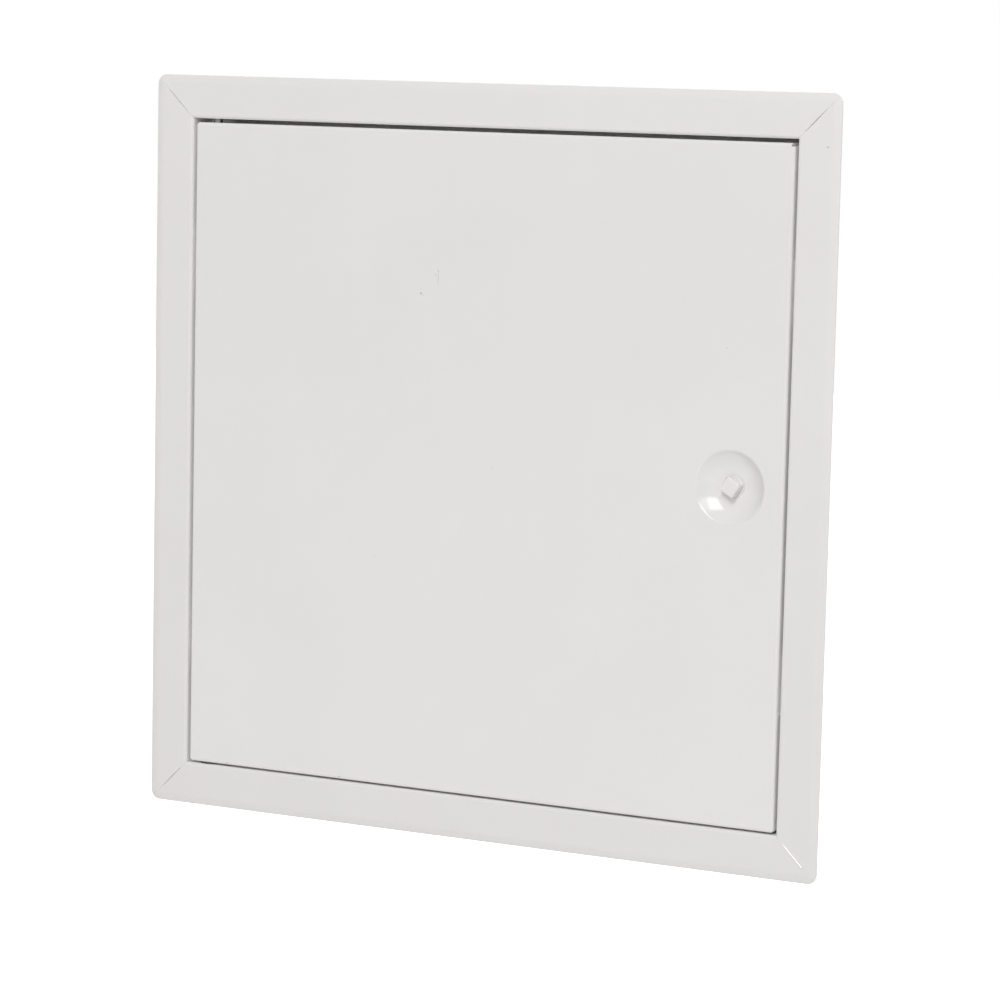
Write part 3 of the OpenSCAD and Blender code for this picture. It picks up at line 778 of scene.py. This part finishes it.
def fold_edges(leaf):
    """Folds the four edges back, closes three corners and cuts the returns free of the stop lip."""
    left, right = LEAF_LEFT + FOLD_R, LEAF_RIGHT - FOLD_R
    top, bottom = LEAF_TOP - FOLD_R, LEAF_BOTTOM + FOLD_R
    fold_y = FACE_Y + FOLD_R
    # Each edge with the centre, axis and turn of its fold and the depth of its return
    edges = (
        (lambda x, y, z: near(x, right), (right, fold_y, 0), (0, 0, 1), 90, LEAF_REAR_Y),
        (lambda x, y, z: near(x, left), (left, fold_y, 0), (0, 0, 1), -90, LEAF_HINGE_REAR_Y),
        (lambda x, y, z: near(z, top), (0, fold_y, top), (1, 0, 0), -90, LEAF_REAR_Y),
        (lambda x, y, z: near(z, bottom), (0, fold_y, bottom), (1, 0, 0), 90, LEAF_REAR_Y),
    )
    for test, centre, axis, turn, rear in edges:
        pick(leaf, "EDGE", lambda x, y, z: test(x, y, z) and near(y, FACE_Y))
        spin(centre, axis, turn, FOLD_STEPS)
        pull_edges(0, rear - fold_y, 0)
    # Three closed corners, where the side folds run round into the upper or lower ones
    for x_side, z_side, turn in ((left, top, 90), (left, bottom, -90), (right, bottom, 90)):
        out = 1 if x_side > 0 else -1
        pick(leaf, "EDGE", lambda x, y, z: near(z, z_side) and (x - x_side) * out > -NEAR)
        spin((x_side, 0, z_side), (0, 1, 0), turn, SMALL_FOLD_STEPS)
    # The upper and lower returns are cut back where they swing past the stop lip
    rise = LEAF_REAR_Y - LEAF_HINGE_REAR_Y
    run = HINGE_X - left
    for z_edge in (LEAF_TOP, LEAF_BOTTOM):
        pick(leaf, "FACE", lambda x, y, z: near(z, z_edge))
        slice_off(mm(HINGE_X, LEAF_REAR_Y, 0), (-rise, run, 0), False)


def door_leaf():
    leaf = sheet(
        "door_leaf_coated", LEAF_LEFT + FOLD_R, LEAF_RIGHT - FOLD_R, LEAF_BOTTOM + FOLD_R, LEAF_TOP - FOLD_R,
    )
    edit(leaf)
    press_dimple(leaf)
    fold_edges(leaf)
    tidy_mesh()
    face_front(leaf)
    leave_edit()
    thicken(leaf, SHEET)
    outside, inside = 2 * CLEAR, SHEET + 2 * CLEAR
    cutters = []
    for low, high in ((LEAF_TOP - inside, LEAF_TOP + outside), (LEAF_BOTTOM - outside, LEAF_BOTTOM + inside)):
        cutters.append(rod((HINGE_X, HINGE_Y, low), (HINGE_X, HINGE_Y, high), PIN_HOLE_D / 2))
    for z in BRACKET_RIVET_Z:
        cutters.append(rod((LEAF_LEFT - outside, HINGE_Y, z), (LEAF_LEFT + inside, HINGE_Y, z), RIVET_HOLE_D / 2))
    cut(leaf, cutters)
    soften(leaf, LEAF_EDGE)
    smooth(leaf)
    mount(leaf, "door", "door_leaf", COAT)


door_leaf()


# Lock


def square_drive():
    """A round bar with four flats, its front end rounded over in steps."""
    centre = (LOCK_X, 0, 0)
    shoulder = DRIVE_FRONT_Y + DRIVE_ROUND
    across = DRIVE_AF / 2
    drive = rod((LOCK_X, shoulder, 0), (LOCK_X, FLOOR_Y - SEAT_PLAY, 0), DRIVE_R, DRIVE_SIDES)
    drive.name = "lock_spindle_coated"
    edit(drive)
    for i in range(4):
        a = radians(DRIVE_TURN + 90 * i)
        out = Vector((cos(a), 0, sin(a)))
        bpy.ops.mesh.select_all(action="SELECT")
        slice_off(mm(*centre) + out * across * 0.001, out, True)
    tidy_mesh(0.001)
    pick(drive, "FACE", lambda x, y, z: near(y, shoulder))
    for i in range(DRIVE_STEPS):
        a, b = pi / 2 * i / DRIVE_STEPS, pi / 2 * (i + 1) / DRIVE_STEPS
        narrow = (across - DRIVE_ROUND * (1 - cos(b))) / (across - DRIVE_ROUND * (1 - cos(a)))
        push_face(-DRIVE_ROUND * (sin(b) - sin(a)), narrow, centre)
    tidy_mesh()
    leave_edit()
    return drive


def spindle_shaft():
    """The journal, the cam's seat and the thread, drawn out as rings of a radius and a length."""
    shaft = rod((LOCK_X, FLOOR_Y - JOURNAL_OVERLAP, 0), (LOCK_X, CAM_FRONT_Y, 0), JOURNAL_R)
    edit(shaft)
    pick(shaft, "FACE", lambda x, y, z: near(y, CAM_FRONT_Y))
    root = THREAD_R - THREAD_DEPTH
    flank, crest, valley = THREAD_PITCH * 0.4, THREAD_PITCH * 0.15, THREAD_PITCH * 0.05
    turns = int((SPINDLE_END_Y - SPINDLE_CHAMFER - CAM_REAR_Y) / THREAD_PITCH)
    rings = [(CAM_SEAT_R, 0), (CAM_SEAT_R, CAM_REAR_Y - CAM_FRONT_Y), (root, 0)]
    rings += turns * [(THREAD_R, flank), (THREAD_R, crest), (root, flank), (root, valley)]
    rings.append((THREAD_R - SPINDLE_CHAMFER, SPINDLE_END_Y - CAM_REAR_Y - turns * THREAD_PITCH))
    radius = JOURNAL_R
    for next_radius, length in rings:
        push_face(length, next_radius / radius, (LOCK_X, 0, 0))
        radius = next_radius
    tidy_mesh()
    leave_edit()
    return shaft


def lock_spindle():
    """Square drive with turned corners in front, then the shaft through leaf and cam."""
    spindle = square_drive()
    combine(spindle, spindle_shaft(), "UNION")
    soften(spindle, SPINDLE_EDGE, 40)
    smooth(spindle)
    mount(spindle, "lock", "lock_spindle", COAT)


def cam_nut():
    """Hexagon nut with its corners turned off at both ends."""
    deselect()
    rear_y = NUT_FRONT_Y + NUT_H
    corner_r = NUT_AF / 2 / cos(pi / 6)
    bpy.ops.mesh.primitive_cylinder_add(
        vertices=6, radius=corner_r * 0.001, depth=NUT_H * 0.001,
        location=mm(LOCK_X, NUT_FRONT_Y + NUT_H / 2, 0), rotation=(pi / 2, 0, 0),
    )
    nut = settle("cam_nut_plated")
    spare = 0.05
    ends = (NUT_FRONT_Y - spare, rear_y + spare)
    turned = rod((LOCK_X, ends[0], 0), (LOCK_X, ends[1], 0), corner_r + spare, NUT_SIDES)
    edit(turned)
    for end in ends:
        pick(turned, "EDGE", lambda x, y, z: near(y, end))
        bpy.ops.mesh.bevel(offset=NUT_CHAMFER * 0.001, segments=1, affect="EDGES")
    leave_edit()
    combine(nut, turned, "INTERSECT")
    cut(nut, [rod((LOCK_X, NUT_FRONT_Y - CLEAR, 0), (LOCK_X, rear_y + CLEAR, 0), THREAD_R + NUT_PLAY)])
    soften(nut, NUT_EDGE)
    smooth(nut)
    mount(nut, "lock", "cam_nut", ZINC)


lock_spindle()
cam_nut()


# Rivets


def rivet(name):
    """One rivet along +Y: flush end at the origin, domed head behind the grip."""
    grip = SHEET + PLATE_T
    piece = rod((0, 0, 0), (0, grip, 0), RIVET_D / 2, RIVET_SIDES)
    piece.name = name
    edit(piece)
    pick(piece, "FACE", lambda x, y, z: near(y, grip))
    head_r = RIVET_HEAD_D / 2
    rings = [(head_r, 0)]
    for i in range(DOME_STEPS):
        a = pi / 2 * i / DOME_STEPS
        rings.append((head_r * cos(a), RIVET_HEAD_EDGE + (RIVET_HEAD_H - RIVET_HEAD_EDGE) * sin(a)))
    radius, height = RIVET_D / 2, 0
    for next_radius, next_height in rings:
        push_face(next_height - height, next_radius / radius, (0, 0, 0))
        radius, height = next_radius, next_height
    tidy_mesh()
    leave_edit()
    smooth(piece, 40)
    return piece


def rivet_at(model, place, turn=0):
    """A copy of the rivet at a place, turned about the upright axis."""
    twin = copy_of(model, "rivet")
    twin.rotation_euler = (0, 0, turn)
    twin.location = mm(*place)
    fix_place()
    return twin


def all_rivets():
    model = rivet("rivet_model")
    line = HALF - RIVET_LINE
    made = []
    for sx in (-1, 1):
        for sz in (-1, 1):
            for i in (0, 1):
                far = HALF - RIVET_FIRST - i * RIVET_PITCH
                for x, z in ((far, line), (line, far)):
                    made.append(rivet_at(model, (sx * x, STOP_Y, sz * z)))
    mount(join(made, "corner_rivets_plated"), "frame", "corner_rivets", ZINC)
    pair = [rivet_at(model, (LEAF_LEFT, HINGE_Y, z), -pi / 2) for z in BRACKET_RIVET_Z]
    mount(join(pair, "bracket_rivets_plated"), "door", "bracket_rivets", ZINC)
    discard(model)


all_rivets()


# Hinge spring


def hinge_spring():
    """Round wire wound up the pin, its ends cut square."""
    deselect()
    wire_r = SPRING_WIRE / 2
    bpy.ops.mesh.primitive_circle_add(
        vertices=WIRE_SIDES, radius=wire_r * 0.001, location=mm(SPRING_R, 0, wire_r), rotation=(pi / 2, 0, 0),
    )
    spring = settle("hinge_spring_wound")
    rise = (SPRING_L - SPRING_WIRE) / SPRING_TURNS
    apply(
        spring, "SCREW", axis="Z", angle=2 * pi, screw_offset=rise * 0.001, iterations=SPRING_TURNS,
        steps=COIL_STEPS, render_steps=COIL_STEPS, use_merge_vertices=False,
    )
    edit(spring)
    bpy.ops.mesh.select_all(action="SELECT")
    bpy.ops.mesh.fill_holes(sides=0)
    tidy_mesh(0.0001)
    leave_edit()
    only(spring)
    spring.location = mm(HINGE_X, HINGE_Y, SPRING_BOTTOM)
    fix_place()
    smooth(spring, 50)
    mount(spring, "door", "hinge_spring", SPRING_STEEL)
    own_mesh(spring)


hinge_spring()


# Pressed and turned hardware: the solids with their edges broken


def broken_edges(node, body, slot, material, width):
    """A copy of a solid, merged, with its facets joined into faces and its edges broken."""
    deselect()
    piece = bpy.data.objects.new(node + "_finished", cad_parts[node].data.copy())
    scene.collection.objects.link(piece)
    piece.data.name = piece.name
    edit(piece)
    bpy.ops.mesh.select_all(action="SELECT")
    bpy.ops.mesh.remove_doubles(threshold=0.000001)
    bpy.ops.mesh.dissolve_limited(angle_limit=radians(0.5))
    leave_edit()
    soften(piece, width, 30)
    smooth(piece)
    mount(piece, body, node, material)


# Node, body, slot, finish and width of the broken edge
HARDWARE = (
    ("corner_plate_tl", "frame", "zinc_steel", ZINC, 0.2),
    ("corner_plate_tr", "frame", "zinc_steel", ZINC, 0.2),
    ("corner_plate_bl", "frame", "zinc_steel", ZINC, 0.2),
    ("corner_plate_br", "frame", "zinc_steel", ZINC, 0.2),
    ("hinge_pin_lower", "frame", "zinc_steel", PIN_ZINC, 0.12),
    ("hinge_washer_lower", "frame", "nylon", NYLON, 0.12),
    ("hinge_plate_lower", "door", "zinc_steel", ZINC, 0.2),
    ("hinge_bracket_upper", "door", "zinc_steel", ZINC, 0.15),
    ("hinge_pin_upper", "sprung_pin", "zinc_steel", PIN_ZINC, 0.1),
    ("pin_clip", "sprung_pin", "spring_steel", SPRING_STEEL, 0.08),
    ("lock_bearing", "door", "zinc_steel", BEARING_ZINC, 0.15),
    ("cone_washer", "lock", "spring_steel", SPRING_STEEL, 0.06),
    ("lock_cam", "lock", "zinc_steel", ZINC, 0.2),
    ("nut_washer", "lock", "zinc_steel", ZINC, 0.12),
)
for row in HARDWARE:
    broken_edges(*row)


# Floor, light and camera

WHITE = (1, 1, 1, 1)
FLOOR_COLOUR = (0.85, 0.85, 0.85, 1)
FLOOR_SIZE = 12
FLOOR_Z = -0.55
FLOOR_GLOW = 0.75
ROOM_LIGHT = 0.52

# Camera fitted to the edges of the panel in the photo: its turn in degrees, its place in metres along its own axes
CAMERA_BEARING = 27.2352
CAMERA_RISE = 7.7406
CAMERA_ROLL = 1.2887
CAMERA_BACK = 1.6743568
CAMERA_RIGHT = 0.0098687
CAMERA_UP = -0.0372249
CAMERA_SHIFT = 0.05
FOCAL_PIXELS = 3757.1916
IMAGE_PIXELS = 1000
SENSOR = 36


def seen_rays(tree):
    """Camera, glossy and transmission rays, which see the white background."""
    rays = tree.nodes.new("ShaderNodeLightPath").outputs
    most = maths(tree, "MAXIMUM", rays["Is Camera Ray"], rays["Is Glossy Ray"])
    return maths(tree, "MAXIMUM", most, rays["Is Transmission Ray"])


def pale_floor():
    """A floor that looks white but keeps the shadow of the panel."""
    deselect()
    bpy.ops.mesh.primitive_plane_add(size=FLOOR_SIZE, location=(0, 0, FLOOR_Z))
    floor = settle("floor")
    pale = bpy.data.materials.new("pale_floor")
    pale.use_nodes = True
    tree = pale.node_tree
    shader = tree.nodes["Principled BSDF"]
    shader.inputs["Base Color"].default_value = FLOOR_COLOUR
    shader.inputs["Roughness"].default_value = 0.9
    glow = tree.nodes.new("ShaderNodeEmission")
    glow.inputs["Color"].default_value = WHITE
    feed(tree, maths(tree, "MULTIPLY", seen_rays(tree), FLOOR_GLOW), glow.inputs["Strength"])
    both = tree.nodes.new("ShaderNodeAddShader")
    feed(tree, shader.outputs[0], both.inputs[0])
    feed(tree, glow.outputs[0], both.inputs[1])
    feed(tree, both.outputs[0], tree.nodes["Material Output"].inputs["Surface"])
    floor.data.materials.append(pale)


def white_room():
    """A room that lights the panel softly and is seen as white."""
    world = bpy.data.worlds.new("white_room")
    scene.world = world
    world.use_nodes = True
    tree = world.node_tree
    room = tree.nodes["Background"]
    room.inputs["Color"].default_value = WHITE
    room.inputs["Strength"].default_value = ROOM_LIGHT
    backdrop = tree.nodes.new("ShaderNodeBackground")
    backdrop.inputs["Color"].default_value = WHITE
    backdrop.inputs["Strength"].default_value = 1
    blend = tree.nodes.new("ShaderNodeMixShader")
    feed(tree, seen_rays(tree), blend.inputs["Fac"])
    feed(tree, room.outputs[0], blend.inputs[1])
    feed(tree, backdrop.outputs[0], blend.inputs[2])
    feed(tree, blend.outputs[0], tree.nodes["World Output"].inputs["Surface"])


def facing(bearing, rise):
    """The directions out, level and up of something that faces the panel from a bearing and a rise in degrees."""
    a, b = radians(bearing), radians(rise)
    out = Vector((sin(a) * cos(b), -cos(a) * cos(b), sin(b)))
    level = Vector((cos(a), sin(a), 0))
    return out, level, out.cross(level)


def put(name, data, axes, place):
    """Adds a lamp or a camera with its own axes at a place, in metres."""
    thing = bpy.data.objects.new(name, data)
    scene.collection.objects.link(thing)
    turn = Matrix(axes).transposed().to_4x4()
    turn.translation = place
    thing.matrix_world = turn
    return thing


def softbox(name, aim, bearing, rise, far, width, height, lean, watts, lights=True, shines=True):
    """A lamp seen from its aim at a bearing and a rise in degrees, leaning so that its right end is raised.

    One that only lights isn't mirrored by the coat, and one that only shines is.
    """
    out, level, up = facing(bearing, rise)
    along = cos(radians(lean)) * level + sin(radians(lean)) * up
    light = bpy.data.lights.new(name, "AREA")
    light.shape = "RECTANGLE"
    light.size = width
    light.size_y = height
    light.energy = watts
    lamp = put(name, light, (along, out.cross(along), out), Vector(aim) + out * far)
    lamp.visible_diffuse = lights
    lamp.visible_glossy = shines


def camera():
    back, level, upright = facing(CAMERA_BEARING, CAMERA_RISE)
    roll = radians(CAMERA_ROLL)
    right, up = cos(roll) * level + sin(roll) * upright, cos(roll) * upright - sin(roll) * level
    lens = bpy.data.cameras.new("camera")
    lens.sensor_width = SENSOR
    lens.lens = FOCAL_PIXELS * SENSOR / IMAGE_PIXELS
    lens.shift_y = CAMERA_SHIFT
    place = back * CAMERA_BACK + right * CAMERA_RIGHT + up * CAMERA_UP
    scene.camera = put("camera", lens, (right, up, back), place)


pale_floor()
white_room()
# Lamps: aim, bearing, rise, distance, width, height, lean and watts
lock = mm(LOCK_X, 0, 0)
softbox("wide_sheen", lock, 12, 27, 2.2, 1.25, 1.0, 14, 11, lights=False)
softbox("rim_sheen", lock, 21.5, 29, 2.2, 2.19, 1.05, 15, 12, lights=False)
softbox("high_lamp", lock, 20, 44, 3.2, 0.7, 0.7, 12, 13, shines=False)
softbox("key_lamp", lock, 14, 33, 3.2, 0.65, 0.65, 0, 31.5, shines=False)
softbox("rear_softbox", (0, 0, 0), 199, 27, 2.0, 1.2, 1.2, 0, 12)
camera()

deselect()
